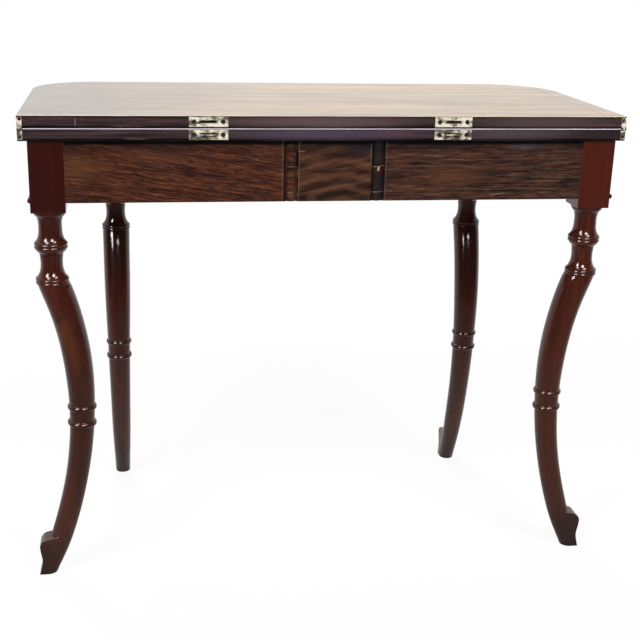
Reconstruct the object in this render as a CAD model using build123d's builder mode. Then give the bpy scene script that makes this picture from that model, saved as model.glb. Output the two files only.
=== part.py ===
from build123d import *

import math
import os

os.makedirs("parts", exist_ok=True)

# A fold-over tea table, folded shut, with two gate legs behind.
# X runs along the leaves, +Y points to the show front, +Z is up. The gates and the leaves' hinge line are
# on the -Y side. The origin is on the floor, under the middle of the table's bounding box.

# The top: two leaves of one outline, folded one on the other
table_w = 915.0
table_h = 750.0
leaf_d = 412.0
leaf_t = 18.5
leaf_gap = 0.4
leaf_corner_r = 105.0
leaf_arris = 1.0
overhang = 13.0

# The frieze under the fixed leaf
frieze_h = 91.5
rail_t = 20.0
bead_h = 7.5

# Clearances
run_gap = 0.3
gate_top_gap = 0.8
inlet_fit = 0.05
joint_fit = 0.1
pin_fit = 0.05
overrun = 2.0

# Tenons
tenon_t = 7.0
tenon_shoulder = 10.0
tenon_end_gap = 3.0
stub_tenon = 9.0

# The gates and their wooden knuckle joints
gate_t = 19.0
gate_setback = 3.0
knuckle_spacing = 132.0
knuckle_shift = 5.7
knuckle_pin_r = 2.5
knuckle_bevel_gap = 0.3
knuckle_share = (0.0, 0.15, 0.393, 0.575, 0.817, 1.0)

# The legs: a square block, two turned collars, and a sabre shaft ending in a scroll toe
block_w = 51.0
block_drop = 15.0
shoulder_h = 9.0
upper_collar_drop = 53.6
collar_spacing = 54.7
band_h = 4.4
band_groove = 1.2
under_h = 7.5
shaft_bow = 36.6
shaft_bow_share = 0.597
shaft_kick = 27.4
entry_lean_share = 0.42
exit_lean_share = 0.40
shaft_beyond = 8.0
ring_along_share = (0.4125, 0.4655)
ring_h = 9.5
toe_reach = 41.2
toe_lean_share = 0.28
waist_reach = 35.8
waist_z = 26.0
scroll_reach = 39.2
scroll_z = 49.0
scroll_top_reach = 27.5
scroll_top_z = 63.5
scroll_root_reach = 1.0
scroll_root_z = 69.0
scroll_lip = 0.6
crease_peak_reach = 31.0
crease_peak_z = 56.0
crease_reach = 4.0
crease_z = 60.0
scroll_over = 0.5
scroll_round = 1.2

# The leg's turned widths, as shares of its block's width
shoulder_share = 0.49
shoulder_foot_share = 0.395
collar_share = 0.49
upper_neck_share = 0.343
lower_neck_share = 0.325
shaft_share = 0.93
ring_share = 0.447
ring_seat_share = 0.372
foot_share = 0.59
sole_share = 0.53

# The lie of the necks: how far down each is narrowest, and the slopes it starts and ends with
neck_waist_share = (0.47, 0.42)
neck_lean_share = (0.5, 0.12)
flare_lean_share = 0.8
under_lean_share = 0.55

# How the shaft's two widths change from its top to the floor, as shares of its width at the top
shaft_along_share = (0.0, 0.06, 0.14, 0.3, 0.42, 0.52, 0.64, 0.74, 0.82, 0.9, 1.0)
shaft_wide_share = (1.0, 0.985, 0.955, 0.91, 0.835, 0.79, 0.752, 0.742, 0.732, 0.685, 0.54)
shaft_thick_share = (1.0, 0.995, 0.98, 0.923, 0.847, 0.808, 0.758, 0.728, 0.69, 0.636, 0.565)
foot_back_share = 0.862

# Brass hinges in the ends of the leaves
hinge_arm = 64.0
hinge_arm_h = 12.0
hinge_return = 7.5
hinge_return_h = 16.0
hinge_plate_t = 2.4
hinge_barrel_r = 2.4
hinge_pin_r = 1.1
hinge_screw_r = 1.3
hinge_screw_head_r = 2.4
hinge_screw_l = 14.0
hinge_screw_share = (0.35, 0.82)
return_screw_z = 13.0
return_screw_inset = 4.3

# Brass tongue and slot plates in the back edges of the leaves
plate_x = 184.0
plate_w = 57.2
plate_h = 14.6
plate_t = 2.0
tongue_w = 22.4
tongue_t = 2.0
tongue_out = 3.2
slot_play = 0.35
mortise_d = 7.0
plate_screw_x = 21.2
plate_screw_r = 1.7
plate_screw_head_r = 3.6
plate_screw_l = 16.0

# Hidden stiffening under the fixed leaf
bearer_w = 50.0
bearer_t = 22.0
glue_block_w = 26.0
glue_block_l = 60.0
glue_chamfer = 9.0
leaf_screw_r = 2.2
leaf_screw_head_r = 4.2
leaf_screw_bite = 10.0

# The driving slots in the screws' heads, as shares of a head's radius, and the turn from one to the next
driver_wide_share = 0.26
driver_deep_share = 0.24
driver_turn = 67.0

# Levels and lines that the pieces share
hinge_z = table_h - leaf_t - leaf_gap / 2
fixed_leaf_top = hinge_z - leaf_gap / 2
frieze_top = fixed_leaf_top - leaf_t
frieze_bottom = frieze_top - frieze_h
gate_top = frieze_top - gate_top_gap
block_bottom = frieze_bottom - block_drop
upper_collar_z = block_bottom - upper_collar_drop
lower_collar_z = upper_collar_z - collar_spacing
shaft_d = block_w * shaft_share
leg_tenon = (block_w - tenon_end_gap) / 2
front_leg_back = leaf_d - overhang - block_w / 2
leaf_back = (tongue_out - front_leg_back - toe_reach) / 2
hinge_y = leaf_back - leaf_gap / 2
front_leg_y = leaf_back + front_leg_back
front_leg_x = table_w / 2 - leaf_corner_r - block_w / 2
gate_leg_x = table_w / 2 - overhang - block_w / 2
gate_back = leaf_back + gate_setback
gate_leg_y = gate_back + block_w / 2
frieze_end = table_w / 2 - overhang
frieze_front = leaf_back + leaf_d - overhang
corner_x = table_w / 2 - leaf_corner_r
corner_y = leaf_back + leaf_d - leaf_corner_r
corner_r = leaf_corner_r - overhang
back_rail_y = gate_back + block_w + run_gap
leaf_mid = leaf_gap / 2 + leaf_t / 2
sides = {"left": -1, "right": 1}


def keep(builder, name):
    builder.part.label = name
    export_step(builder.part, f"parts/{name}.step")


def slab(x, y, z, mode=Mode.ADD):
    """A square-edged board between three pairs of planes."""
    with Locations([((x[0] + x[1]) / 2, (y[0] + y[1]) / 2, (z[0] + z[1]) / 2)]):
        Box(abs(x[1] - x[0]), abs(y[1] - y[0]), abs(z[1] - z[0]), mode=mode)


def grown(span, by):
    return (min(span) - by, max(span) + by)


def socket(x, y, z, fit=joint_fit):
    """The hole that a tenon or an inlaid plate of the given spans goes into."""
    slab(grown(x, fit), grown(y, fit), grown(z, fit), mode=Mode.SUBTRACT)


def wood_screw(head, shank_r, head_r, length, grow=0.0, mode=Mode.ADD):
    """A countersunk screw whose head lies in the plane head, or with grow the hole for it."""
    side = Plane(origin=head.origin, x_dir=head.x_dir, z_dir=-head.y_dir)
    core_r = shank_r + grow
    with BuildSketch(side, mode=Mode.PRIVATE) as half:
        with BuildLine():
            Polyline(
                (0, 0),
                (head_r + grow, 0),
                (core_r, shank_r - head_r),
                (core_r, shank_r * 2 - length),
                (0, -length - grow),
                (0, 0),
            )
        make_face()
    revolve(half.sketch, axis=Axis(head.origin, head.z_dir), mode=mode)


def slotted_screws(heads, shank_r, head_r, length):
    """Countersunk screws, each with its driving slot turned another way."""
    for number, head in enumerate(heads):
        wood_screw(head, shank_r, head_r, length)
        with BuildSketch(head, mode=Mode.PRIVATE) as driver_slot:
            Rectangle((head_r + overrun) * 2, head_r * driver_wide_share, rotation=number * driver_turn)
        extrude(driver_slot.sketch, amount=-head_r * driver_deep_share, mode=Mode.SUBTRACT)


# The leaves, and the recesses that their brass goes into
def hinge_spans(end, level):
    """Spans of the hinge plate's long arm and of its return on the back edge."""
    tip = end * table_w / 2
    arm_z = (hinge_z + level * (leaf_mid - hinge_arm_h / 2), hinge_z + level * (leaf_mid + hinge_arm_h / 2))
    return_z = (hinge_z + level * leaf_gap / 2, hinge_z + level * (leaf_gap / 2 + hinge_return_h))
    arm = ((tip - end * hinge_plate_t, tip), (leaf_back, leaf_back + hinge_arm), arm_z)
    back = ((tip - end * hinge_return, tip), (leaf_back, leaf_back + hinge_plate_t), return_z)
    return arm, back


def hinge_screw_planes(end, level):
    """Where the three screws of one hinge plate have their heads."""
    tip = end * table_w / 2
    arm_z = hinge_z + level * leaf_mid
    planes = [
        Plane(origin=(tip, leaf_back + hinge_arm * share, arm_z), x_dir=(0, 1, 0), z_dir=(end, 0, 0))
        for share in hinge_screw_share
    ]
    back = (tip - end * return_screw_inset, leaf_back, hinge_z + level * return_screw_z)
    planes.append(Plane(origin=back, x_dir=(1, 0, 0), z_dir=(0, -1, 0)))
    return planes


def plate_screw_planes(level):
    z = hinge_z + level * leaf_mid
    return [
        Plane(origin=(side * plate_x + step * plate_screw_x, leaf_back, z), x_dir=(1, 0, 0), z_dir=(0, -1, 0))
        for side in (-1, 1)
        for step in (-1, 1)
    ]


def plate_spans(side, level):
    x = (side * plate_x - plate_w / 2, side * plate_x + plate_w / 2)
    mid = hinge_z + level * leaf_mid
    return x, (leaf_back, leaf_back + plate_t), (mid - plate_h / 2, mid + plate_h / 2)


# The tongue swings in on an arc about the hinge line, so the slot reaches a little past it
slot_far = math.hypot(tongue_out - leaf_gap / 2, leaf_mid + tongue_t / 2) + slot_play
slot_near = leaf_mid - tongue_t / 2 - slot_play
slot_z = (hinge_z + slot_near, hinge_z + slot_far)
slot_w = tongue_w + slot_play * 2


def slot_spans(side, depth):
    x = (side * plate_x - slot_w / 2, side * plate_x + slot_w / 2)
    return x, (leaf_back - overrun, leaf_back + depth), slot_z


def leaf(level):
    """One leaf, above the hinge line for level 1 and below it for level -1."""
    low = hinge_z + (leaf_gap / 2 if level > 0 else -leaf_gap / 2 - leaf_t)
    with BuildPart() as board:
        with BuildSketch(Plane.XY.offset(low)) as outline:
            with Locations((0, leaf_back)):
                Rectangle(table_w, leaf_d, align=(Align.CENTER, Align.MIN))
            fillet(outline.vertices().group_by(Axis.Y)[-1], radius=leaf_corner_r)
        extrude(amount=leaf_t)
        fillet(board.edges().filter_by(Plane.XY), radius=leaf_arris)
        for end in (-1, 1):
            tip = end * table_w / 2
            for x, y, z in hinge_spans(end, level):
                beyond = (x[0], x[1] + end * overrun)
                slab((beyond[0] - end * inlet_fit, beyond[1]), (y[0] - overrun, y[1] + inlet_fit),
                     grown(z, inlet_fit), mode=Mode.SUBTRACT)
            notch = Plane(origin=(tip - end * (hinge_return + run_gap), hinge_y, hinge_z), z_dir=(end, 0, 0))
            with BuildSketch(notch):
                Circle(hinge_barrel_r + run_gap)
            extrude(amount=hinge_return + overrun, mode=Mode.SUBTRACT)
            for plane in hinge_screw_planes(end, level):
                wood_screw(plane, hinge_screw_r, hinge_screw_head_r, hinge_screw_l, pin_fit, Mode.SUBTRACT)
            x, y, z = plate_spans(end, level)
            slab(grown(x, inlet_fit), (y[0] - overrun, y[1]), grown(z, inlet_fit), mode=Mode.SUBTRACT)
            if level > 0:
                slab(*slot_spans(end, mortise_d), mode=Mode.SUBTRACT)
        for plane in plate_screw_planes(level):
            wood_screw(plane, plate_screw_r, plate_screw_head_r, plate_screw_l, pin_fit, Mode.SUBTRACT)
        if level < 0:
            for plane in leaf_screw_planes():
                wood_screw(plane, leaf_screw_r, leaf_screw_head_r, leaf_screw_l, pin_fit, Mode.SUBTRACT)
    return board


# Glue blocks in the corners between the rails and the fixed leaf, each with a screw up into the leaf
leaf_screw_l = glue_block_w + leaf_screw_bite
glue_places_share = {"front": (-0.55, 0.55), "back": (-0.6, 0.6), "end": (0.3, 0.8)}


def glue_block_planes():
    """Each block's plane: its origin on the rail's inner face at the leaf, x along the rail, y off the rail."""
    planes = []
    end_run = corner_y - back_rail_y - rail_t
    for share in glue_places_share["front"]:
        planes.append(Plane(origin=(share * corner_x, frieze_front - rail_t, frieze_top), x_dir=(-1, 0, 0)))
    for share in glue_places_share["back"]:
        planes.append(Plane(origin=(share * frieze_end, back_rail_y + rail_t, frieze_top), x_dir=(1, 0, 0)))
    for share in glue_places_share["end"]:
        y = back_rail_y + rail_t + share * end_run
        planes.append(Plane(origin=(frieze_end - rail_t, y, frieze_top), x_dir=(0, 1, 0)))
        planes.append(Plane(origin=(rail_t - frieze_end, y, frieze_top), x_dir=(0, -1, 0)))
    return planes


def leaf_screw_planes():
    planes = []
    for block in glue_block_planes():
        head = block.origin + block.y_dir * (glue_block_w / 2) - block.z_dir * glue_block_w
        planes.append(Plane(origin=head, x_dir=(1, 0, 0), z_dir=(0, 0, -1)))
    return planes


fixed_leaf = leaf(-1)
keep(fixed_leaf, "fixed_leaf")

folding_leaf = leaf(1)
keep(folding_leaf, "folding_leaf")

with BuildPart() as glue_blocks:
    for place in glue_block_planes():
        across = Plane(origin=place.origin - place.x_dir * (glue_block_l / 2), x_dir=place.y_dir, z_dir=place.x_dir)
        with BuildSketch(across):
            with BuildLine():
                Polyline(
                    (0, 0),
                    (glue_block_w, 0),
                    (glue_block_w, glue_chamfer - glue_block_w),
                    (glue_block_w - glue_chamfer, -glue_block_w),
                    (0, -glue_block_w),
                    (0, 0),
                )
            make_face()
        extrude(amount=glue_block_l)
    for place in leaf_screw_planes():
        wood_screw(place, leaf_screw_r, leaf_screw_head_r, leaf_screw_l, pin_fit, Mode.SUBTRACT)
keep(glue_blocks, "glue_blocks")

with BuildPart() as leaf_screws:
    slotted_screws(leaf_screw_planes(), leaf_screw_r, leaf_screw_head_r, leaf_screw_l)
keep(leaf_screws, "leaf_screws")


# The hinges: an L-shaped plate in each leaf end, three knuckles and a pin on the hinge line
knuckle_l = (hinge_return - leaf_gap) / 3


def hinge_knuckle(end, number, radius, extra=0.0, mode=Mode.ADD):
    """The barrel's knuckle of that number, counted from its inner end."""
    start = table_w / 2 - hinge_return + number * (knuckle_l + leaf_gap / 2) - extra
    with BuildSketch(Plane(origin=(end * start, hinge_y, hinge_z), z_dir=(end, 0, 0)), mode=Mode.PRIVATE) as ring:
        Circle(radius)
    extrude(ring.sketch, amount=knuckle_l + extra * 2, mode=mode)


def hinge_plate(end, level):
    own, others = ((1,), (0, 2)) if level > 0 else ((0, 2), (1,))
    with BuildPart() as plate:
        for spans in hinge_spans(end, level):
            slab(*spans)
        for number in others:
            hinge_knuckle(end, number, hinge_barrel_r + run_gap, leaf_gap / 2, Mode.SUBTRACT)
        for number in own:
            hinge_knuckle(end, number, hinge_barrel_r)
        for number in range(3):
            hinge_knuckle(end, number, hinge_pin_r + pin_fit, leaf_gap, Mode.SUBTRACT)
        for place in hinge_screw_planes(end, level):
            wood_screw(place, hinge_screw_r, hinge_screw_head_r, hinge_screw_l, pin_fit, Mode.SUBTRACT)
    return plate


for side, end in sides.items():
    keep(hinge_plate(end, -1), f"{side}_lower_hinge_plate")
    keep(hinge_plate(end, 1), f"{side}_upper_hinge_plate")
    with BuildPart() as hinge_pin:
        start = Plane(origin=(end * (table_w / 2 - hinge_return), hinge_y, hinge_z), z_dir=(end, 0, 0))
        with BuildSketch(start):
            Circle(hinge_pin_r)
        extrude(amount=hinge_return)
    keep(hinge_pin, f"{side}_hinge_pin")

for name, level in {"lower": -1, "upper": 1}.items():
    with BuildPart() as hinge_screws:
        heads = hinge_screw_planes(-1, level) + hinge_screw_planes(1, level)
        slotted_screws(heads, hinge_screw_r, hinge_screw_head_r, hinge_screw_l)
    keep(hinge_screws, f"{name}_hinge_screws")


# Tongue plates in the fixed leaf's back edge and slot plates in the folding leaf's
def screwed_plate(side, level):
    with BuildPart() as plate:
        slab(*plate_spans(side, level))
        if level < 0:
            back = (side * plate_x, leaf_back, hinge_z - leaf_mid)
            tongue = Plane(origin=back, x_dir=(1, 0, 0), z_dir=(0, -1, 0))
            with BuildSketch(tongue):
                Rectangle(tongue_w, tongue_t)
            extrude(amount=tongue_out)
            fillet(plate.faces().sort_by(Axis.Y)[0].edges().filter_by(Axis.Z), radius=tongue_t / 3)
        else:
            slab(*slot_spans(side, plate_t + overrun), mode=Mode.SUBTRACT)
        for place in plate_screw_planes(level):
            wood_screw(place, plate_screw_r, plate_screw_head_r, plate_screw_l, pin_fit, Mode.SUBTRACT)
    return plate


for side, end in sides.items():
    keep(screwed_plate(end, -1), f"{side}_tongue_plate")
    keep(screwed_plate(end, 1), f"{side}_slot_plate")

for name, level in {"tongue": -1, "slot": 1}.items():
    with BuildPart() as plate_screws:
        slotted_screws(plate_screw_planes(level), plate_screw_r, plate_screw_head_r, plate_screw_l)
    keep(plate_screws, f"{name}_plate_screws")


# The turned sabre legs
def collar_outline(collar_z, neck_r, waist_share, lean_share, start):
    """The waisted neck down to a collar, and the collar's two bands. Gives the outline's last point."""
    collar_r = block_w * collar_share
    edge_r = collar_r - band_groove / 2
    collar_top = (edge_r, collar_z + band_h)
    neck = (neck_r, start[1] + (collar_top[1] - start[1]) * waist_share)
    Spline(start, neck, collar_top, tangents=((-lean_share, -1), (1, -flare_lean_share)))
    ThreePointArc(collar_top, (collar_r, collar_z + band_h / 2), (collar_r - band_groove, collar_z))
    ThreePointArc((collar_r - band_groove, collar_z), (collar_r, collar_z - band_h / 2), (edge_r, collar_z - band_h))
    return edge_r, collar_z - band_h


def turned_leg(top_z):
    """A leg with its block's axis on Z and its toe towards +X."""
    shaft_top_z = lower_collar_z - band_h / 2
    with BuildLine(Plane.XZ) as centreline:
        Spline(
            (0, shaft_top_z),
            (-shaft_bow, shaft_top_z * shaft_bow_share),
            (shaft_kick, 0),
            tangents=((-entry_lean_share, -1), (exit_lean_share, -1)),
        )
    path = centreline.edges()[0]
    scroll_top = (scroll_top_reach, scroll_top_z)

    with BuildPart() as foot:
        foot_t = block_w * foot_share
        toe = (toe_reach, 0)
        under_lip = (scroll_reach - scroll_lip, scroll_z)
        under_top = (scroll_top_reach - scroll_lip, scroll_top_z - scroll_lip * 2)
        foot_back = [(point.X, point.Z) for point in (path @ foot_back_share, path @ 1)]
        with BuildSketch(Plane.XZ.offset(-foot_t / 2)):
            with BuildLine():
                Spline(toe, (waist_reach, waist_z), under_lip, tangents=((-toe_lean_share, 1), (0, 1)))
                TangentArc(under_lip, under_top, tangent=(0, 1))
                Polyline(under_top, *foot_back, toe)
            make_face()
        extrude(amount=foot_t)
        with BuildSketch(Plane.YZ):
            sole = block_w * sole_share / 2
            flank = [(-sole, 0), (sole, 0), (foot_t / 2, scroll_z), (foot_t / 2, scroll_top_z)]
            with BuildLine():
                Polyline(*flank, (-foot_t / 2, scroll_top_z), (-foot_t / 2, scroll_z), close=True)
            make_face()
        extrude(amount=toe_reach * 2, both=True, mode=Mode.INTERSECT)

    with BuildPart() as scroll:
        lip = (scroll_reach, scroll_z)
        crease_end = (crease_reach, crease_z)
        with BuildSketch(Plane.XZ.offset(-foot_t / 2 - scroll_over)):
            with BuildLine():
                TangentArc(lip, scroll_top, tangent=(0, 1))
                ThreePointArc(lip, (crease_peak_reach, crease_peak_z), crease_end)
                Polyline(crease_end, (scroll_root_reach, scroll_root_z), scroll_top)
            make_face()
        extrude(amount=foot_t + scroll_over * 2)
        roll = scroll.faces().sort_by(Axis.X)[-1]
        fillet(roll.edges().filter_by(Plane.XZ), radius=scroll_round)

    with BuildPart() as leg:
        with BuildSketch(Plane.XY.offset(block_bottom)):
            Rectangle(block_w, block_w)
        extrude(amount=top_z - block_bottom)
        with BuildSketch(Plane.XZ):
            with BuildLine():
                head_z = block_bottom + overrun
                shoulder_r = block_w * shoulder_share
                shoulder_foot = (block_w * shoulder_foot_share, block_bottom - shoulder_h)
                upper_neck_r = block_w * upper_neck_share
                lower_neck_r = block_w * lower_neck_share
                Polyline((0, head_z), (shoulder_r, head_z), (shoulder_r, block_bottom))
                TangentArc((shoulder_r, block_bottom), shoulder_foot, tangent=(0, -1))
                collar_foot = collar_outline(
                    upper_collar_z, upper_neck_r, neck_waist_share[0], neck_lean_share[0], shoulder_foot
                )
                step = (lower_neck_r + band_groove, upper_collar_z - band_h - under_h)
                neck_top = (step[0], step[1] - band_groove)
                TangentArc(collar_foot, step, tangent=(-under_lean_share, -1))
                Line(step, neck_top)
                last = collar_outline(
                    lower_collar_z, lower_neck_r, neck_waist_share[1], neck_lean_share[1], neck_top
                )
                Polyline(last, (0, lower_collar_z - band_h), (0, head_z))
            make_face()
        revolve(axis=Axis.Z)
        for along, wide, thick in zip(shaft_along_share, shaft_wide_share, shaft_thick_share):
            normal = path % along if along > 0 else (0, 0, -1)
            with BuildSketch(Plane(origin=path @ along, x_dir=(0, 1, 0), z_dir=normal)):
                Ellipse(shaft_d * thick / 2, shaft_d * wide / 2)
        with BuildSketch(Plane(origin=path @ 1, x_dir=(0, 1, 0), z_dir=path % 1).offset(shaft_beyond)):
            Ellipse(shaft_d * shaft_thick_share[-1] / 2, shaft_d * shaft_wide_share[-1] / 2)
        loft()
        ring_r = block_w * ring_share
        ring_seat_r = block_w * ring_seat_share
        for along in ring_along_share:
            across = Plane(origin=path @ along, x_dir=(0, 1, 0), z_dir=path % along)
            with BuildSketch(Plane(origin=across.origin, x_dir=across.x_dir, z_dir=-across.y_dir)):
                with BuildLine():
                    ThreePointArc((ring_seat_r, -ring_h / 2), (ring_r, 0), (ring_seat_r, ring_h / 2))
                    Polyline((ring_seat_r, ring_h / 2), (0, ring_h / 2), (0, -ring_h / 2), (ring_seat_r, -ring_h / 2))
                make_face()
            revolve(axis=Axis(across.origin, across.z_dir))
        add(foot.part)
        add(scroll.part)
        split(bisect_by=Plane.XY, keep=Keep.TOP)
    return leg


def around(middle, width):
    return (middle - width / 2, middle + width / 2)


# Spans that both a rail's tenon and the mortise for it are made from
rail_z = (frieze_bottom, frieze_top)
tenon_z = (frieze_bottom + tenon_shoulder, gate_top - tenon_shoulder)
front_tenon_y = around(frieze_front - rail_t / 2, tenon_t)
gate_tenon_y = around(gate_back + gate_t / 2, tenon_t)
back_tenon_y = around(back_rail_y + rail_t / 2, tenon_t)
bearer_y = (back_rail_y + rail_t, frieze_front - rail_t)
bearer_z = (frieze_top - bearer_t, frieze_top)
bearer_tenon_z = around(frieze_top - bearer_t / 2, tenon_t)
front_block_in = front_leg_x - block_w / 2
gate_block_in = gate_leg_x - block_w / 2

front_leg = turned_leg(frieze_top)
gate_leg = turned_leg(gate_top)

for side, end in sides.items():
    with BuildPart() as leg:
        with Locations(Location((end * front_leg_x, front_leg_y, 0), (0, 0, 90))):
            add(front_leg.part)
        socket((end * front_block_in, end * (front_block_in + leg_tenon)), front_tenon_y, tenon_z)
        socket((end * corner_x, end * (corner_x - leg_tenon)), front_tenon_y, tenon_z)
    keep(leg, f"front_{side}_leg")

    with BuildPart() as leg:
        with Locations(Location((end * gate_leg_x, gate_leg_y, 0), (0, 0, 90 - end * 90))):
            add(gate_leg.part)
        socket((end * gate_block_in, end * (gate_block_in + leg_tenon)), gate_tenon_y, tenon_z)
    keep(leg, f"{side}_gate_leg")


# The frieze: front rail, bent corners, end rails and the inner back rail
with BuildPart() as front_rail:
    slab((-front_block_in, front_block_in), (frieze_front - rail_t, frieze_front), rail_z)
    slab((-front_block_in - leg_tenon, front_block_in + leg_tenon), front_tenon_y, tenon_z)
    socket(around(0, bearer_w), (bearer_y[1], bearer_y[1] + stub_tenon), bearer_tenon_z)
keep(front_rail, "front_rail")

with BuildPart() as inner_back_rail:
    inner_x = (rail_t - frieze_end, frieze_end - rail_t)
    slab(inner_x, (back_rail_y, back_rail_y + rail_t), rail_z)
    slab(grown(inner_x, stub_tenon), back_tenon_y, tenon_z)
    socket(around(0, bearer_w), (bearer_y[0] - stub_tenon, bearer_y[0]), bearer_tenon_z)
keep(inner_back_rail, "inner_back_rail")

with BuildPart() as centre_bearer:
    slab(around(0, bearer_w), bearer_y, bearer_z)
    slab(around(0, bearer_w), grown(bearer_y, stub_tenon), bearer_tenon_z)
keep(centre_bearer, "centre_bearer")

for side, end in sides.items():
    end_x = (end * (frieze_end - rail_t), end * frieze_end)
    end_tenon_x = around(end * (frieze_end - rail_t / 2), tenon_t)
    with BuildPart() as end_rail:
        slab(end_x, (back_rail_y, corner_y), rail_z)
        slab(end_tenon_x, (corner_y, corner_y + stub_tenon), tenon_z)
        socket((end * (frieze_end - rail_t), end * (frieze_end - rail_t + stub_tenon)), back_tenon_y, tenon_z)
    keep(end_rail, f"{side}_end_rail")

    with BuildPart() as corner_frieze:
        with BuildSketch(Plane(origin=(end * corner_x, corner_y, frieze_bottom))):
            Circle(corner_r)
            Circle(corner_r - rail_t, mode=Mode.SUBTRACT)
            with Locations((end * corner_r / 2, corner_r / 2)):
                Rectangle(corner_r, corner_r, mode=Mode.INTERSECT)
        extrude(amount=frieze_h)
        slab((end * corner_x, end * (corner_x - leg_tenon)), front_tenon_y, tenon_z)
        socket(end_tenon_x, (corner_y, corner_y + stub_tenon), tenon_z)
    keep(corner_frieze, f"{side}_corner_frieze")


# The bead along the foot of the frieze
def bead_face(origin, outward, along):
    """The bead's half round at the foot of a frieze face, facing outward and ready to run along."""
    with BuildSketch(Plane(origin=origin, x_dir=outward, z_dir=along), mode=Mode.PRIVATE) as face:
        with BuildLine():
            ThreePointArc((0, 0), (bead_h / 2, bead_h / 2), (0, bead_h))
            Line((0, bead_h), (0, 0))
        make_face()
    return face.sketch


with BuildPart() as front_bead:
    extrude(bead_face((-corner_x, frieze_front, frieze_bottom), (0, 1, 0), (1, 0, 0)), amount=corner_x * 2)
keep(front_bead, "front_bead")

for side, end in sides.items():
    with BuildPart() as corner_bead:
        start = (corner_x, frieze_end, corner_y, frieze_front)
        if end > 0:
            face = bead_face((frieze_end, corner_y, frieze_bottom), (1, 0, 0), (0, -1, 0))
        else:
            face = bead_face((-corner_x, frieze_front, frieze_bottom), (0, 1, 0), (1, 0, 0))
        revolve(face, axis=Axis((end * corner_x, corner_y, 0), (0, 0, 1)), revolution_arc=90)
    keep(corner_bead, f"{side}_corner_bead")

    for name, back, front in (("end_bead", back_rail_y, corner_y), ("leg_bead", gate_back, gate_back + block_w)):
        with BuildPart() as bead:
            start_y = front if end > 0 else back
            face = bead_face((end * frieze_end, start_y, frieze_bottom), (end, 0, 0), (0, -end, 0))
            extrude(face, amount=front - back)
        keep(bead, f"{side}_{name}")


# The gates: each swings on a wooden knuckle joint of five fingers about an upright pin
knuckle_y = gate_back + gate_t / 2
knuckle_xs = {side: knuckle_shift + end * knuckle_spacing / 2 for side, end in sides.items()}


def pointed_end(pin_x, away):
    """The three corners of a rail's bevelled end beside the knuckle, for a rail that runs towards away."""
    tip = pin_x + away * knuckle_bevel_gap
    back = tip + away * gate_t / 2
    return [(back, gate_back), (tip, knuckle_y), (back, gate_back + gate_t)]


def knuckle_fingers(pin_x, own, play):
    """Adds the fingers numbered in own, counted from below, and makes room for the other rail's and the pin."""
    for adding in (False, True):
        for number, (low, high) in enumerate(zip(knuckle_share, knuckle_share[1:])):
            if (number in own) != adding:
                continue
            low_z = frieze_bottom + low * frieze_h + (play if adding else -play)
            high_z = frieze_bottom + high * frieze_h - (play if adding else -play)
            radius = gate_t / 2 if adding else gate_t / 2 + run_gap
            with BuildSketch(Plane.XY.offset(low_z), mode=Mode.PRIVATE) as ring:
                with Locations((pin_x, knuckle_y)):
                    Circle(radius)
            extrude(ring.sketch, amount=high_z - low_z, mode=Mode.ADD if adding else Mode.SUBTRACT)
    with BuildSketch(Plane.XY.offset(frieze_bottom), mode=Mode.PRIVATE) as bore:
        with Locations((pin_x, knuckle_y)):
            Circle(knuckle_pin_r + pin_fit)
    extrude(bore.sketch, amount=frieze_h, mode=Mode.SUBTRACT)


with BuildPart() as fixed_hinge_rail:
    with BuildSketch(Plane.XY.offset(frieze_bottom)):
        with BuildLine():
            Polyline(*pointed_end(knuckle_xs["left"], 1), *reversed(pointed_end(knuckle_xs["right"], -1)), close=True)
        make_face()
    extrude(amount=frieze_h)
    for pin_x in knuckle_xs.values():
        knuckle_fingers(pin_x, (0, 2, 4), 0)
keep(fixed_hinge_rail, "fixed_hinge_rail")

with BuildPart() as hinge_packing_block:
    slab(around(knuckle_shift, knuckle_spacing - gate_t * 2), (gate_back + gate_t, back_rail_y), rail_z)
keep(hinge_packing_block, "hinge_packing_block")

for side, end in sides.items():
    with BuildPart() as gate_rail:
        shoulder = end * gate_block_in
        with BuildSketch(Plane.XY.offset(frieze_bottom)):
            with BuildLine():
                square_end = ((shoulder, gate_back + gate_t), (shoulder, gate_back))
                Polyline(*pointed_end(knuckle_xs[side], end), *square_end, close=True)
            make_face()
        extrude(amount=gate_top - frieze_bottom)
        knuckle_fingers(knuckle_xs[side], (1, 3), run_gap)
        slab((shoulder, end * (gate_block_in + leg_tenon)), gate_tenon_y, tenon_z)
    keep(gate_rail, f"{side}_gate_rail")

    with BuildPart() as knuckle_pin:
        with BuildSketch(Plane.XY.offset(frieze_bottom)):
            with Locations((knuckle_xs[side], knuckle_y)):
                Circle(knuckle_pin_r)
        extrude(amount=frieze_h)
    keep(knuckle_pin, f"{side}_knuckle_pin")
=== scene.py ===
import math

import bpy
from mathutils import Matrix, Vector

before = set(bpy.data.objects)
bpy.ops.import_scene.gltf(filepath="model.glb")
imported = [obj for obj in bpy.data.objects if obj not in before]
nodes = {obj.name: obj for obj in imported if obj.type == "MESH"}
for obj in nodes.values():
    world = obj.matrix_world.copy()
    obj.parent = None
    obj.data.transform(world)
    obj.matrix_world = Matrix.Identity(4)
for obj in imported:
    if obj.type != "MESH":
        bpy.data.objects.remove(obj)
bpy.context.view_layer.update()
print("table loaded")


# camera where the photographer stood, a little left of the table's middle
view = {"place": (-0.29553, -1.87551, 0.98934), "yaw": 0.15257, "pitch": 0.31769, "roll": 0.0244,
        "sensor": 36, "lens": 64.2036, "shiftX": 0.02742, "shiftY": -0.00038, "farthest": 100}


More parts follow.
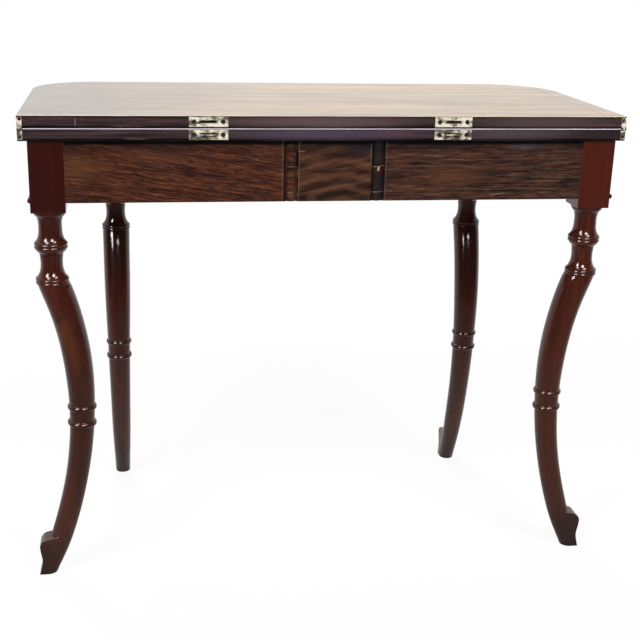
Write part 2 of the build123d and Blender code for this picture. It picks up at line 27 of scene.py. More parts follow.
def setCamera():
    cam = bpy.data.objects.new("camera", bpy.data.cameras.new("camera"))
    bpy.context.scene.collection.objects.link(cam)
    cam.data.sensor_width = view["sensor"]
    cam.data.lens = view["lens"]
    cam.data.shift_x = view["shiftX"]
    cam.data.shift_y = view["shiftY"]
    cam.data.clip_end = view["farthest"]
    yaw, pitch, roll = view["yaw"], view["pitch"], view["roll"]
    level = math.cos(pitch)
    forward = Vector((math.sin(yaw) * level, math.cos(yaw) * level, -math.sin(pitch)))
    right = Vector((math.cos(yaw), -math.sin(yaw), 0))
    up = right.cross(forward)
    turned = right * math.cos(roll) + up * math.sin(roll)
    up = up * math.cos(roll) - right * math.sin(roll)
    cam.matrix_world = Matrix((
        (turned.x, up.x, -forward.x, view["place"][0]),
        (turned.y, up.y, -forward.y, view["place"][1]),
        (turned.z, up.z, -forward.z, view["place"][2]),
        (0, 0, 0, 1)))
    bpy.context.scene.camera = cam


setCamera()
bpy.context.scene.view_settings.view_transform = "Standard"


# small hands for the node trees
def put(tree, kind, settings=None, feeds=None):
    node = tree.nodes.new(kind)
    for key, value in (settings or {}).items():
        setattr(node, key, value)
    for key, value in (feeds or {}).items():
        if isinstance(value, bpy.types.NodeSocket):
            tree.links.new(value, node.inputs[key])
        else:
            node.inputs[key].default_value = value
    return node


# how the values of a screen stand for light
screen = {"full": 255, "kink": 0.04045, "slope": 12.92, "lift": 0.055, "power": 2.4}


def ink(*values):  # a colour as seen on a screen, 0 to 255
    def light(share):
        if share <= screen["kink"]:
            return share / screen["slope"]
        return ((share + screen["lift"]) / (1 + screen["lift"])) ** screen["power"]
    return (*(light(value / screen["full"]) for value in values), 1)


def work(tree, kind, *values):
    return put(tree, "ShaderNodeMath", {"operation": kind}, dict(enumerate(values))).outputs[0]


def plus(tree, first, second):
    return work(tree, "ADD", first, second)


def less(tree, first, second):
    return work(tree, "SUBTRACT", first, second)


def times(tree, first, second):
    return work(tree, "MULTIPLY", first, second)


def larger(tree, first, second):
    return work(tree, "MAXIMUM", first, second)


def size(tree, value):
    return work(tree, "ABSOLUTE", value)


def fade(tree, value, low, high, atLow=0.0, atHigh=1.0):
    return put(tree, "ShaderNodeMapRange", {"interpolation_type": "SMOOTHSTEP"},
               {"Value": value, "From Min": low, "From Max": high,
                "To Min": atLow, "To Max": atHigh}).outputs[0]


def tint(tree, share, under, over):
    return put(tree, "ShaderNodeMix", {"data_type": "RGBA", "blend_type": "MIX"},
               {0: share, 6: under, 7: over}).outputs[2]


def shades(tree, value, places, tones):
    ramp = put(tree, "ShaderNodeValToRGB", None, {"Fac": value})
    stops = ramp.color_ramp.elements
    stops.remove(stops[1])
    stops[0].position = places[0]
    stops[0].color = tones[0]
    for place, tone in zip(places[1:], tones[1:]):
        stops.new(place).color = tone
    return ramp.outputs["Color"]


def onPiece(tree):
    return put(tree, "ShaderNodeTexCoord").outputs["Object"]


def parts(tree, vector):
    return put(tree, "ShaderNodeSeparateXYZ", None, {0: vector}).outputs


def distance(tree, vector):
    return put(tree, "ShaderNodeVectorMath", {"operation": "LENGTH"}, {0: vector}).outputs["Value"]


def spread(tree, sizes, shift=(0, 0, 0), turn=(0, 0, 0)):  # space on the piece, in steps of these sizes
    return put(tree, "ShaderNodeMapping", {"vector_type": "TEXTURE"},
               {"Vector": onPiece(tree), "Location": shift, "Rotation": turn, "Scale": sizes}).outputs[0]


# detail and roughness of each kind of cloudy noise
clouds = {"figure": (2.0, 0.5), "streak": (4.0, 0.62), "pore": (2.0, 0.6), "thread": (3.0, 0.6),
          "patchy": (4.0, 0.6), "ragged": (4.0, 0.7), "haze": (5.0, 0.65), "smear": (5.0, 0.6)}


def cloud(tree, kind, sizes, shift, turn=(0, 0, 0), bend=0.0):
    detail, rough = clouds[kind]
    return put(tree, "ShaderNodeTexNoise", None,
               {"Vector": spread(tree, sizes, shift, turn), "Scale": 1.0, "Detail": detail,
                "Roughness": rough, "Distortion": bend}).outputs["Fac"]


def evenly(length):
    return (length, length, length)


# a line's edge fades over this share of its half width, and unless told it reaches this deep in metres
lineSoft = 0.35
lineDeep = 1.0


# 1 inside a thin line that is seen from the gate side
def line(tree, centre, halfLong, halfWide, turn=0.0, soft=lineSoft, deep=lineDeep):
    near = parts(tree, spread(tree, (halfLong, deep, halfWide), centre, (0, turn, 0)))
    far = larger(tree, size(tree, near["X"]), size(tree, near["Z"]))
    far = larger(tree, far, size(tree, near["Y"]))
    return fade(tree, far, 1.0 + soft, 1.0 - soft)


def markUp(tree, colour, marks, raggedness):
    for x, z, halfLong, halfWide, turn, tone, share in marks:
        here = line(tree, (x, 0, z), halfLong, halfWide, turn)
        colour = tint(tree, times(tree, here, times(tree, raggedness, share)), colour, tone)
    return colour


# a spot starts and is full at these shares of its reach
spotSpan = (1.6, 0.5)


def spot(tree, centre, reach, lines, raggedness, share):  # a soft place, its edge drawn out by streaks
    far = plus(tree, distance(tree, spread(tree, reach, centre)), times(tree, lines, raggedness))
    return fade(tree, far, *spotSpan, 0.0, share)


def startMaterial(name):
    made = bpy.data.materials.new(name)
    made.use_nodes = True
    made.node_tree.nodes.clear()
    return made, made.node_tree


# rays for the look round an edge and into a quirk
nearSamples = 6


def worn(tree, reach):  # 1 on an outer edge, 0 on a flat, and the eased normal
    eased = put(tree, "ShaderNodeBevel", {"samples": nearSamples}, {"Radius": reach}).outputs["Normal"]
    flat = put(tree, "ShaderNodeNewGeometry").outputs["Normal"]
    same = put(tree, "ShaderNodeVectorMath", {"operation": "DOT_PRODUCT"}, {0: eased, 1: flat})
    return less(tree, 1.0, same.outputs["Value"]), eased


def hollow(tree, reach):  # 1 in a quirk or inner corner, 0 in the open
    clear = put(tree, "ShaderNodeAmbientOcclusion", {"samples": nearSamples, "only_local": True},
                {"Distance": reach}).outputs["AO"]
    return less(tree, 1.0, clear)


def relief(tree, strength, deep, height, normal):
    return put(tree, "ShaderNodeBump", None,
               {"Strength": strength, "Distance": deep, "Height": height, "Normal": normal}).outputs[0]


def finish(tree, made, colour, rough, normal, sockets):
    skin = put(tree, "ShaderNodeBsdfPrincipled", None,
               {"Base Color": colour, "Roughness": rough, "Normal": normal, **sockets})
    put(tree, "ShaderNodeOutputMaterial", None, {"Surface": skin.outputs[0]})
    return made


def dress(name, made):
    for slot in nodes[name].material_slots:
        slot.material = made


# studio: white floor and walls, two high windows on the gate side, a broad one behind, a soft one above
# a window lights everything, a pane only glints in the polish of the legs
studio = {
    "wallLight": 0.42, "wallTone": (1, 1, 1, 1),
    "roomSpan": (-0.25, 0.3), "roomEnd": 0.05, "farEnd": 0.92,
    "floorHalf": 6.0, "floorTone": (0.9, 0.9, 0.9, 1), "floorGlow": 0.88, "glowSpan": (0.7, 2.4),
    "paperEnd": 0.1, "paperSpan": (-0.75, 0.9), "aim": (0, 0, 0.5)}
lamps = {  # place, aim, width, height, power, use
    "leftWindow": ((-1.7, -1.9, 3.1), studio["aim"], 0.9, 1.1, 56, "window"),
    "rightWindow": ((1.3, -2.1, 3.1), studio["aim"], 0.9, 1.1, 50, "window"),
    "leftPane": ((-2.33, -2.09, 2.12), studio["aim"], 0.9, 1.0, 95, "pane"),
    "rightPane": ((0.41, -2.75, 2.12), studio["aim"], 0.9, 1.0, 95, "pane"),
    "lowPane": ((-2.2, -2.3, 1.5), (0, 0, 0.45), 0.5, 0.4, 20, "pane"),
    "showSide": ((-0.5, 2.3, 3.4), studio["aim"], 1.6, 1.2, 60, "window"),
    "ceiling": ((0.1, 0.0, 2.8), (0, 0, 0.4), 2.6, 1.8, 6, "window")}


def joined(tree, share, first, second):
    return put(tree, "ShaderNodeMixShader", None, {0: share, 1: first, 2: second}).outputs[0]


def buildWalls():
    world = bpy.data.worlds.new("whiteRoom")
    bpy.context.scene.world = world
    world.use_nodes = True
    tree = world.node_tree
    tree.nodes.clear()

    def wall(strength):
        return put(tree, "ShaderNodeBackground", None,
                   {"Color": studio["wallTone"], "Strength": strength}).outputs[0]

    path = put(tree, "ShaderNodeLightPath").outputs
    seen = larger(tree, path["Is Camera Ray"], path["Is Transmission Ray"])
    looking = parts(tree, put(tree, "ShaderNodeTexCoord").outputs["Generated"])
    # in the polish the photographer's end of the room is dim
    mirrored = fade(tree, looking["Y"], *studio["roomSpan"], studio["roomEnd"], studio["farEnd"])
    plain = joined(tree, seen, wall(studio["wallLight"]), wall(1.0))
    both = joined(tree, path["Is Glossy Ray"], plain, wall(mirrored))
    put(tree, "ShaderNodeOutputWorld", None, {"Surface": both})


def buildFloor():
    bpy.ops.mesh.primitive_plane_add(size=studio["floorHalf"] * 2)
    floor = bpy.context.object
    floor.name = "floor"
    paint, tree = startMaterial("paleFloor")
    place = onPiece(tree)
    lit = fade(tree, distance(tree, place), *studio["glowSpan"], studio["floorGlow"], 1.0)
    # in the polish the white paper ends towards the photographer
    paper = fade(tree, parts(tree, place)["Y"], *studio["paperSpan"], studio["paperEnd"], 1.0)
    path = put(tree, "ShaderNodeLightPath").outputs
    seen = larger(tree, path["Is Camera Ray"], path["Is Glossy Ray"])
    share = times(tree, larger(tree, seen, path["Is Transmission Ray"]), lit)
    matt = put(tree, "ShaderNodeBsdfDiffuse", None, {"Color": studio["floorTone"]})
    strength = larger(tree, path["Is Camera Ray"], paper)
    glow = put(tree, "ShaderNodeEmission", None, {"Strength": strength})
    put(tree, "ShaderNodeOutputMaterial", None,
        {"Surface": joined(tree, share, matt.outputs[0], glow.outputs[0])})
    floor.data.materials.append(paint)


def hangLamps():
    polished = bpy.data.collections.new("polishedLegs")
    for name in nodes:
        if name.endswith("leg"):
            polished.objects.link(nodes[name])
    for name, (place, aim, wide, tall, power, use) in lamps.items():
        lamp = bpy.data.objects.new(name, bpy.data.lights.new(name, "AREA"))
        bpy.context.scene.collection.objects.link(lamp)
        lamp.data.shape = "RECTANGLE"
        lamp.data.size = wide
        lamp.data.size_y = tall
        lamp.data.energy = power
        lamp.visible_diffuse = use == "window"
        if use == "pane":
            lamp.light_linking.receiver_collection = polished
        lamp.location = place
        lamp.rotation_euler = (Vector(aim) - Vector(place)).to_track_quat("-Z", "Y").to_euler()


buildWalls()
buildFloor()
hangLamps()
print("studio set")


# mahogany: broad figure, streaks, threads, and fine open pores, all drawn out along the board
# how far each reaches in x, y and z, the figure and streaks for a length of one metre
courses = {
    "x": {"figure": (1.0, 0.1, 0.055), "pore": (0.012, 0.0005, 0.0005),
          "thread": (0.25, 0.0018, 0.0016), "fleck": (0.014, 0.002, 0.002)},
    "z": {"figure": (0.07, 0.07, 1.0), "pore": (0.0005, 0.0005, 0.012),
          "thread": (0.0016, 0.0016, 0.25), "fleck": (0.002, 0.002, 0.014)},
    "level": {"figure": (1.0, 1.0, 0.055), "pore": (0.012, 0.012, 0.0005),
              "thread": (0.25, 0.25, 0.0016), "fleck": (0.014, 0.014, 0.002)}}
fibre = {"threadShare": 0.25, "threadWander": 0.3, "poreSpan": (0.54, 0.66), "fleckSpan": (0.48, 0.64)}


def grain(tree, look, shift):
    course = courses[look["along"]]

    def layer(kind, sizes, bend=0.0):
        return cloud(tree, kind, sizes, shift, look["turn"], bend)

    def drawn(length):
        return [length * side for side in course["figure"]]

    wide = layer("figure", drawn(look["figureLength"]), look["swirl"])
    lines = layer("streak", drawn(look["streakLength"]), look["wander"])
    pores = layer("pore", course["pore"])
    threads = layer("thread", course["thread"], look["wander"] * fibre["threadWander"])
    flecks = layer("thread", course["fleck"])
    streakShare = 1 - fibre["threadShare"] - look["figureShare"]
    tone = plus(tree, times(tree, wide, look["figureShare"]), times(tree, lines, streakShare))
    tone = plus(tree, tone, times(tree, threads, fibre["threadShare"]))
    colour = shades(tree, tone, (0.5 - look["calm"], 0.5, 0.5 + look["calm"]),
                    (look["dark"], look["mid"], look["light"]))
    pit = fade(tree, pores, *fibre["poreSpan"])
    colour = tint(tree, times(tree, pit, look["pores"]), colour, look["pore"])
    flecked = fade(tree, flecks, *fibre["fleckSpan"], 0.0, look["flecks"])
    colour = tint(tree, flecked, colour, look["pore"])
    return {"colour": colour, "lines": lines, "pit": pit}


# wear of rails and legs: sizes in metres; a span is where a fade starts and ends, and from what to what
wear = {"edgeReach": 0.0016, "edgeSpan": (0.02, 0.22), "quirkReach": 0.006, "quirkSpan": (0.12, 0.75),
        "rubSize": 0.02, "rubSpan": (0.42, 0.62), "markSpan": (0.3, 0.5, 0.55, 1.0), "patchRagged": 0.9,
        "darkZoneRagged": 0.6, "hazeSize": 0.06, "hazeSpan": (0.35, 0.7), "hazeShares": (0.8, 1.45),
        "poreRough": 0.12, "streakHigh": 0.35, "poreHigh": -0.6, "deep": 0.0004}
rings = {"Scale": 0.35, "Distortion": 9.0, "Detail": 4.0, "Detail Scale": 0.7, "Detail Roughness": 0.6}
ringStops = (0.1, 0.5, 0.95)


def curlRound(tree, colour, look):  # figure that curls round a knot
    centre, reach, share = look["whorl"]
    curl = put(tree, "ShaderNodeTexWave", {"wave_type": "RINGS", "rings_direction": "Y"},
               {"Vector": spread(tree, reach, centre), **rings}).outputs["Fac"]
    curled = shades(tree, curl, ringStops, (look["dark"], look["mid"], look["light"]))
    return tint(tree, share, colour, curled)


def darkenZones(tree, colour, look, rub):  # darkens or tints a zone from one height to another: painted shadow under the leaf and the table, dust, darker tones towards the foot and the blocks' own red
    for low, high, tone, share in look["darkZones"]:
        stray = times(tree, less(tree, rub, 0.5), abs(high - low) * wear["darkZoneRagged"])
        up = plus(tree, parts(tree, onPiece(tree))["Z"], stray)
        colour = tint(tree, fade(tree, up, low, high, 0.0, share), colour, tone)
    return colour


def woodMaterial(name, look, shift):
    made, tree = startMaterial(name)
    wood = grain(tree, look, shift)
    colour = wood["colour"]
    if look["whorl"]:
        colour = curlRound(tree, colour, look)
    for centre, reach, tone, share in look["patches"]:  # where the polish has warmed or lost its colour, a knot, and a painted bluish reflection on the right gate rail
        near = spot(tree, centre, reach, wood["lines"], wear["patchRagged"], share)
        colour = tint(tree, near, colour, tone)
    edge, eased = worn(tree, wear["edgeReach"])
    quirk = hollow(tree, wear["quirkReach"])
    rub = cloud(tree, "patchy", evenly(wear["rubSize"]), shift)
    colour = darkenZones(tree, colour, look, rub)
    # darker in quirks and inner corners: grime, and painted shade
    colour = tint(tree, fade(tree, quirk, *wear["quirkSpan"], 0.0, look["dirtAndShade"]), colour, look["grimeAndShade"])
    rubbed = fade(tree, rub, *wear["rubSpan"], 0.0, look["rub"])
    colour = tint(tree, times(tree, fade(tree, edge, *wear["edgeSpan"]), rubbed), colour, look["bare"])
    colour = markUp(tree, colour, look["marks"], fade(tree, rub, *wear["markSpan"]))
    hazy = fade(tree, cloud(tree, "haze", evenly(wear["hazeSize"]), shift), *wear["hazeSpan"],
                *(look["gloss"] * share for share in wear["hazeShares"]))
    rough = plus(tree, hazy, times(tree, wood["pit"], wear["poreRough"]))
    height = plus(tree, times(tree, wood["lines"], wear["streakHigh"]),
                  times(tree, wood["pit"], wear["poreHigh"]))
    return finish(tree, made, colour, rough, relief(tree, look["relief"], wear["deep"], height, eased),
                  {"Specular IOR Level": look["shine"], "Coat Weight": look["coat"],
                   "Coat Roughness": look["coatRough"]})


base = {"dark": ink(26, 12, 10), "mid": ink(54, 25, 18), "light": ink(84, 44, 28), "pore": ink(16, 8, 8),
        "grimeAndShade": ink(12, 8, 8), "bare": ink(128, 84, 62), "along": "x", "turn": (0, 0, 0),
        "figureLength": 0.45, "figureShare": 0.45, "swirl": 0.3, "streakLength": 0.12, "wander": 0.5,
        "calm": 0.12,  # the wider, the quieter the figure
        "pores": 0.5, "flecks": 0.2, "dirtAndShade": 0.8, "rub": 0.45,
        "gloss": 0.3, "relief": 0.35, "shine": 0.17, "coat": 0.0, "coatRough": 0.1,
        "whorl": None, "patches": (), "darkZones": (), "marks": ()}
# near-black of the knuckle seams, also painted as shadow in the gaps beside the fingers
seamShadow = ink(9, 6, 6)
chalk = ink(140, 112, 98)

# seams of the knuckles, widened by painted shadow in the gaps beside the fingers, and scratches of the
# gate side: x, z, half its length, half its height, turn, tone, share
leftSeamsAndShadows = (
    (-0.0704, 0.667, 0.0012, 0.06, 0, seamShadow, 0.95),
    (-0.0512, 0.685, 0.0021, 0.0112, 0, seamShadow, 1.0),
    (-0.0510, 0.646, 0.0012, 0.0112, 0, seamShadow, 0.9),
    (-0.0605, 0.6735, 0.0075, 0.0005, 0.05, chalk, 0.8),
    (-0.0605, 0.6572, 0.0080, 0.0005, 0, seamShadow, 0.8),
    (-0.0590, 0.6346, 0.0065, 0.0005, -0.1, chalk, 0.7),
    (-0.0625, 0.6957, 0.0070, 0.0005, 0, seamShadow, 0.8),
    (-0.0740, 0.667, 0.0004, 0.05, 0, chalk, 0.3))
rightSeamsAndShadows = (
    (0.0717, 0.667, 0.0100, 0.06, 0, ink(26, 23, 29), 0.8),
    (0.0627, 0.667, 0.0010, 0.06, 0, seamShadow, 0.9),
    (0.0808, 0.667, 0.0012, 0.06, 0, seamShadow, 0.9),
    (0.0720, 0.6738, 0.0080, 0.0006, -0.12, chalk, 0.9),
    (0.0722, 0.6702, 0.0016, 0.0030, 0.2, ink(196, 138, 112), 0.9),
    (0.0715, 0.6347, 0.0075, 0.0006, -0.06, chalk, 0.9),
    (0.0717, 0.6572, 0.0080, 0.0006, 0, seamShadow, 0.9),
    (0.0717, 0.6959, 0.0080, 0.0006, 0, seamShadow, 0.9),
    (0.0835, 0.667, 0.0004, 0.05, 0, chalk, 0.35))
middleMarks = (
    (-0.0492, 0.667, 0.0005, 0.045, 0, chalk, 0.4),
    (-0.0450, 0.6965, 0.0045, 0.0005, 0.1, chalk, 0.7),
    (0.0600, 0.690, 0.0006, 0.015, 0, chalk, 0.35))
rightMarks = ((0.260, 0.630, 0.0105, 0.0006, -0.14, ink(120, 112, 108), 0.8),)

# zones darkened from one height to another: from this height, to this one, tone, share
# painted shadow under the leaf's overhang with some dust, and a near-black band of painted shadow in the
# gap just beneath the leaf
railShadeAndDust = ((0.685, 0.7125, ink(20, 13, 13), 0.5),
             (0.7050, 0.7085, ink(5, 4, 4), 0.95))
# the legs darker below the rings and towards the foot
legTowardsFoot = ((0.365, 0.335, ink(62, 40, 29), 0.32),
            (0.09, 0.03, ink(30, 17, 12), 0.65),
            (0.012, 0.002, ink(14, 9, 9), 0.7))
leftBlock = (0.598, 0.612, ink(46, 8, 7), 0.75)
rightBlock = (0.598, 0.612, ink(78, 28, 18), 0.6)
# painted shadow of the table over the upper parts of the far legs
farShade = (0.36, 0.50, ink(16, 8, 9), 0.55)

# patches: centre, reach, tone, share; the first of the left leg is its knot
legLook = dict(base, along="z", dark=ink(38, 13, 9), mid=ink(64, 25, 15), light=ink(88, 42, 25),
               figureLength=0.5, streakLength=0.09, calm=0.2, pores=0.2, rub=0.3,
               gloss=0.1, relief=0.01, shine=0.4)
leftLegLook = dict(legLook, darkZones=(*legTowardsFoot, leftBlock), patches=(
    ((-0.4130, -0.2, 0.4391), (0.0050, 0.05, 0.0040), ink(14, 10, 10), 0.95),
    ((-0.4020, -0.2, 0.4230), (0.013, 0.05, 0.026), ink(104, 60, 26), 0.36),
    ((-0.3950, -0.2, 0.3970), (0.013, 0.05, 0.028), ink(102, 57, 26), 0.34),
    ((-0.3890, -0.2, 0.3680), (0.013, 0.05, 0.030), ink(98, 53, 25), 0.32)))
rightLegLook = dict(legLook, darkZones=(*legTowardsFoot, rightBlock))
farLegLook = dict(legLook, darkZones=(*legTowardsFoot, farShade))
leftGateLook = dict(base, dark=ink(32, 13, 9), mid=ink(78, 39, 27), light=ink(118, 68, 38),
                    turn=(0, 0.15, 0), figureLength=0.2, figureShare=0.2, streakLength=0.035, wander=0.7,
                    flecks=0.6, gloss=0.38, darkZones=railShadeAndDust, marks=leftSeamsAndShadows, patches=(
                        ((-0.37, -0.203, 0.675), (0.05, 0.05, 0.022), ink(96, 58, 26), 0.5),
                        ((-0.27, -0.203, 0.690), (0.07, 0.05, 0.012), ink(92, 54, 26), 0.3)))
middleLook = dict(base, dark=ink(30, 16, 12), mid=ink(68, 41, 28), light=ink(106, 68, 44),
                  turn=(0, -0.22, 0), figureLength=0.3, figureShare=0.5, swirl=1.6, streakLength=0.05,
                  wander=1.0, flecks=0.4, gloss=0.4, darkZones=railShadeAndDust,
                  whorl=((0.020, -0.203, 0.612), (0.034, 0.2, 0.022), 0.36),
                  marks=(*leftSeamsAndShadows, *rightSeamsAndShadows, *middleMarks), patches=(
                      ((-0.020, -0.203, 0.680), (0.030, 0.05, 0.014), ink(96, 60, 40), 0.5),
                      ((0.045, -0.203, 0.702), (0.036, 0.05, 0.018), ink(34, 31, 38), 0.9),
                      ((-0.010, -0.203, 0.6665), (0.045, 0.05, 0.004), ink(28, 16, 12), 0.7)))
rightGateLook = dict(base, dark=ink(26, 16, 14), mid=ink(70, 43, 34), light=ink(108, 70, 50),
                     turn=(0, -0.01, 0), figureLength=0.3, figureShare=0.2, streakLength=0.04, calm=0.1,
                     flecks=0.5, gloss=0.42, relief=0.9, darkZones=railShadeAndDust,
                     marks=(*rightSeamsAndShadows, *rightMarks), patches=(
                         ((0.185, -0.203, 0.658), (0.06, 0.05, 0.018), ink(104, 60, 32), 0.5),
                         # painted reflection: a bluish sheen near the rail's top
                         ((0.300, -0.203, 0.704), (0.035, 0.05, 0.007), ink(84, 86, 100), 0.5)))
beadLook = dict(base, along="level", gloss=0.25, pores=0.2)
curvedLook = dict(base, along="level", dark=ink(44, 19, 13), mid=ink(86, 41, 26), light=ink(128, 73, 44),
                  gloss=0.22, coat=0.25)
showLook = dict(curvedLook, along="x", figureLength=0.7, swirl=1.2)
insideLook = dict(base, dark=ink(92, 62, 38), mid=ink(138, 100, 64), light=ink(170, 132, 90),
                  pore=ink(84, 56, 34), grimeAndShade=ink(52, 38, 28), bare=ink(186, 152, 112), figureLength=0.5,
                  figureShare=0.4, pores=0.35, dirtAndShade=0.6, rub=0.3, gloss=0.62, relief=0.5, shine=0.2)

woodLooks = {
    "front_left_leg": farLegLook, "front_right_leg": farLegLook,
    "left_gate_leg": leftLegLook, "right_gate_leg": rightLegLook,
    "left_gate_rail": leftGateLook, "fixed_hinge_rail": middleLook, "right_gate_rail": rightGateLook,
    "front_rail": showLook, "left_end_rail": showLook, "right_end_rail": showLook,
    "left_corner_frieze": curvedLook, "right_corner_frieze": curvedLook,
    "front_bead": beadLook, "left_end_bead": beadLook, "right_end_bead": beadLook,
    "left_corner_bead": beadLook, "right_corner_bead": beadLook,
    "left_leg_bead": beadLook, "right_leg_bead": beadLook,
    "inner_back_rail": insideLook, "hinge_packing_block": insideLook, "centre_bearer": insideLook,
    "glue_blocks": insideLook}
woodStep = (0.37, 0.21, 0.13)


def stepped(count, step):  # so that no two pieces show the same place in the noise
    return [count * side for side in step]


for count, (name, look) in enumerate(woodLooks.items()):
    dress(name, woodMaterial(name + "Wood", look, stepped(count, woodStep)))
print("rails and legs polished")


# the two leaves: faded outside, richer inside, bare below, dark along the edges, with painted
# highlights, shadows and reflections there
fadedLook = dict(base, dark=ink(124, 90, 48), mid=ink(157, 119, 64), light=ink(188, 149, 91),
                 pore=ink(84, 58, 32), figureLength=0.7, figureShare=0.25, swirl=0.4, streakLength=0.14,
                 wander=0.3, calm=0.075, pores=0.4, flecks=0.3)
richLook = dict(base, dark=ink(66, 30, 20), mid=ink(112, 54, 34), light=ink(150, 84, 52),
                figureLength=0.8, swirl=1.4, streakLength=0.3, pores=0.4)
edgeLook = dict(base, along="level", dark=ink(26, 20, 23), mid=ink(54, 41, 44), light=ink(90, 62, 62),
                pore=ink(12, 8, 10), figureLength=0.3, figureShare=0.35, streakLength=0.06, calm=0.14,
                pores=0.35)
bareLook = dict(base, dark=ink(70, 44, 32), mid=ink(104, 70, 50), light=ink(134, 96, 70),
                pore=ink(50, 32, 24), figureLength=0.7, streakLength=0.25)

# outline of a leaf, then the stringing line and cross-grain band on the outer face of the folding one
leafShape = {"halfWide": 0.4575, "back": -0.20575, "front": 0.20625, "corner": 0.105}
border = {"inset": 0.029, "lineHalf": 0.0012, "lineInk": ink(34, 24, 20), "lineEdge": (1.4, 0.6),
          "lineSpan": (0.3, 0.55, 0.45, 0.95), "raggedSize": 0.05,
          "bandGrain": (0.004, 0.12, 0.12), "bandStops": (0.3, 0.5, 0.7),
          "bandSoft": 0.001, "bandShare": 0.7,
          "handledInk": ink(120, 96, 74), "handledRagged": 0.03, "handledSpan": (0.045, 0.02, 0.0, 0.28),
          "leftShadeInk": ink(74, 54, 26), "leftShadeSpan": (-0.05, -0.42, 0.0, 0.75)}
leafWear = {"faceSpan": (0.55, 0.8), "uprightSpan": (0.98, 0.9), "underStep": 0.7,
            "edgeReach": 0.0014, "edgeSpan": (0.02, 0.2),
            "rubSize": 0.03, "rubSpan": (0.4, 0.6, 0.15, 0.7), "rubInk": ink(170, 146, 118),
            "thinGrain": (0.09, 0.09, 0.0015), "thinSpan": (0.3, 0.6), "thinLeast": 0.7,
            "rimEdge": (1.3, 0.7), "reflectionRagged": 0.8, "tickSpan": (0.3, 0.5, 0.5, 1.0),
            "smearGrain": (0.12, 0.08, 0.08), "smearSpan": (0.3, 0.7, 0.9, 1.25), "edgeGloss": 0.3,
            "streakHigh": 0.3, "poreHigh": -0.5, "relief": 0.25, "deep": 0.0003}
wax = {"Specular IOR Level": 0.3, "Specular Tint": (1.0, 0.93, 0.8, 1),
       "Coat Roughness": 0.2, "Coat IOR": 1.33}

# along its edges, painted highlights and shadows on the arrises: height, half its height, tone, share;
# painted reflections: centre, reach, tone, share
# ticks: as the seams above
leaves = {
    "folding_leaf": {
        "upper": fadedLook, "lower": richLook, "upperGloss": 0.34, "lowerGloss": 0.2,
        "folds": True, "shift": (0.1, 0.4, 0.2),
        # painted highlight on the upper arris, a painted dark line just beneath it, and painted shadow
        # along the lower edge
        "arrisLightAndShade": ((0.7500, 0.0009, ink(226, 212, 184), 0.9),
                 (0.7476, 0.0010, ink(14, 10, 11), 0.75),
                 (0.7324, 0.0024, ink(3, 2, 3), 1.0)),
        # painted reflections of the room on the edge
        "edgeReflections": (((-0.02, 0, 0.741), (0.18, 1, 0.012), ink(108, 86, 90), 0.6),
                   ((0.32, 0, 0.741), (0.14, 1, 0.012), ink(98, 80, 80), 0.5)),
        "ticks": ((-0.375, 0.740, 0.0005, 0.0050, 0.05, ink(150, 128, 116), 0.7),
                  (-0.300, 0.7345, 0.0200, 0.0005, 0, ink(110, 84, 78), 0.5))},
    "fixed_leaf": {
        "upper": richLook, "lower": bareLook, "upperGloss": 0.2, "lowerGloss": 0.6,
        "folds": False, "shift": (1.3, 0.9, 0.6),
        # painted highlight on the upper arris and painted shadow along the lower edge
        "arrisLightAndShade": ((0.7308, 0.0009, ink(226, 218, 232), 0.95),
                 (0.7140, 0.0024, ink(4, 3, 5), 1.0)),
        # painted reflections of the room on the edge, and one darker patch
        "edgeReflections": (((-0.02, 0, 0.723), (0.20, 1, 0.012), ink(84, 76, 94), 0.5),
                   ((0.09, 0, 0.724), (0.05, 1, 0.008), ink(96, 62, 78), 0.4),
                   ((0.28, 0, 0.723), (0.12, 1, 0.012), ink(88, 78, 84), 0.5),
                   ((0.42, 0, 0.722), (0.05, 1, 0.010), ink(40, 32, 34), 0.5)),
        "ticks": ((0.405, 0.7225, 0.0300, 0.0005, -0.02, ink(20, 14, 15), 0.8),
                  (-0.290, 0.7160, 0.0140, 0.0005, 0.02, ink(128, 112, 110), 0.5))}}


def banded(tree, colour, look, shift, at):  # the outer face's line, cross-grain band, wear, and painted shade towards the left end
    # distance in from the leaf's outline, whose two front corners are round
    overX = less(tree, size(tree, at["X"]), leafShape["halfWide"] - leafShape["corner"])
    overY = less(tree, at["Y"], leafShape["front"] - leafShape["corner"])
    outX = larger(tree, overX, 0.0)
    outY = larger(tree, overY, 0.0)
    arc = work(tree, "SQRT", plus(tree, times(tree, outX, outX), times(tree, outY, outY)))
    inner = work(tree, "MINIMUM", larger(tree, overX, overY), 0.0)
    inward = less(tree, leafShape["corner"], plus(tree, arc, inner))
    inward = work(tree, "MINIMUM", inward, less(tree, at["Y"], leafShape["back"]))

    across = shades(tree, cloud(tree, "patchy", border["bandGrain"], shift), border["bandStops"],
                    (look["dark"], look["mid"], look["light"]))
    bandStart = leafShape["corner"] - border["inset"]
    front = fade(tree, overY, bandStart - border["bandSoft"], bandStart + border["bandSoft"])
    colour = tint(tree, times(tree, front, border["bandShare"]), colour, across)
    ragged = cloud(tree, "ragged", evenly(border["raggedSize"]), shift)
    near = fade(tree, size(tree, less(tree, inward, border["inset"])),
                *(border["lineHalf"] * share for share in border["lineEdge"]))
    near = times(tree, near, fade(tree, ragged, *border["lineSpan"]))
    colour = tint(tree, near, colour, border["lineInk"])
    inward = plus(tree, inward, times(tree, ragged, border["handledRagged"]))
    colour = tint(tree, fade(tree, inward, *border["handledSpan"]), colour, border["handledInk"])
    # painted shade: the outer face darker and greyer towards the left end
    return tint(tree, fade(tree, at["X"], *border["leftShadeSpan"]), colour, border["leftShadeInk"])


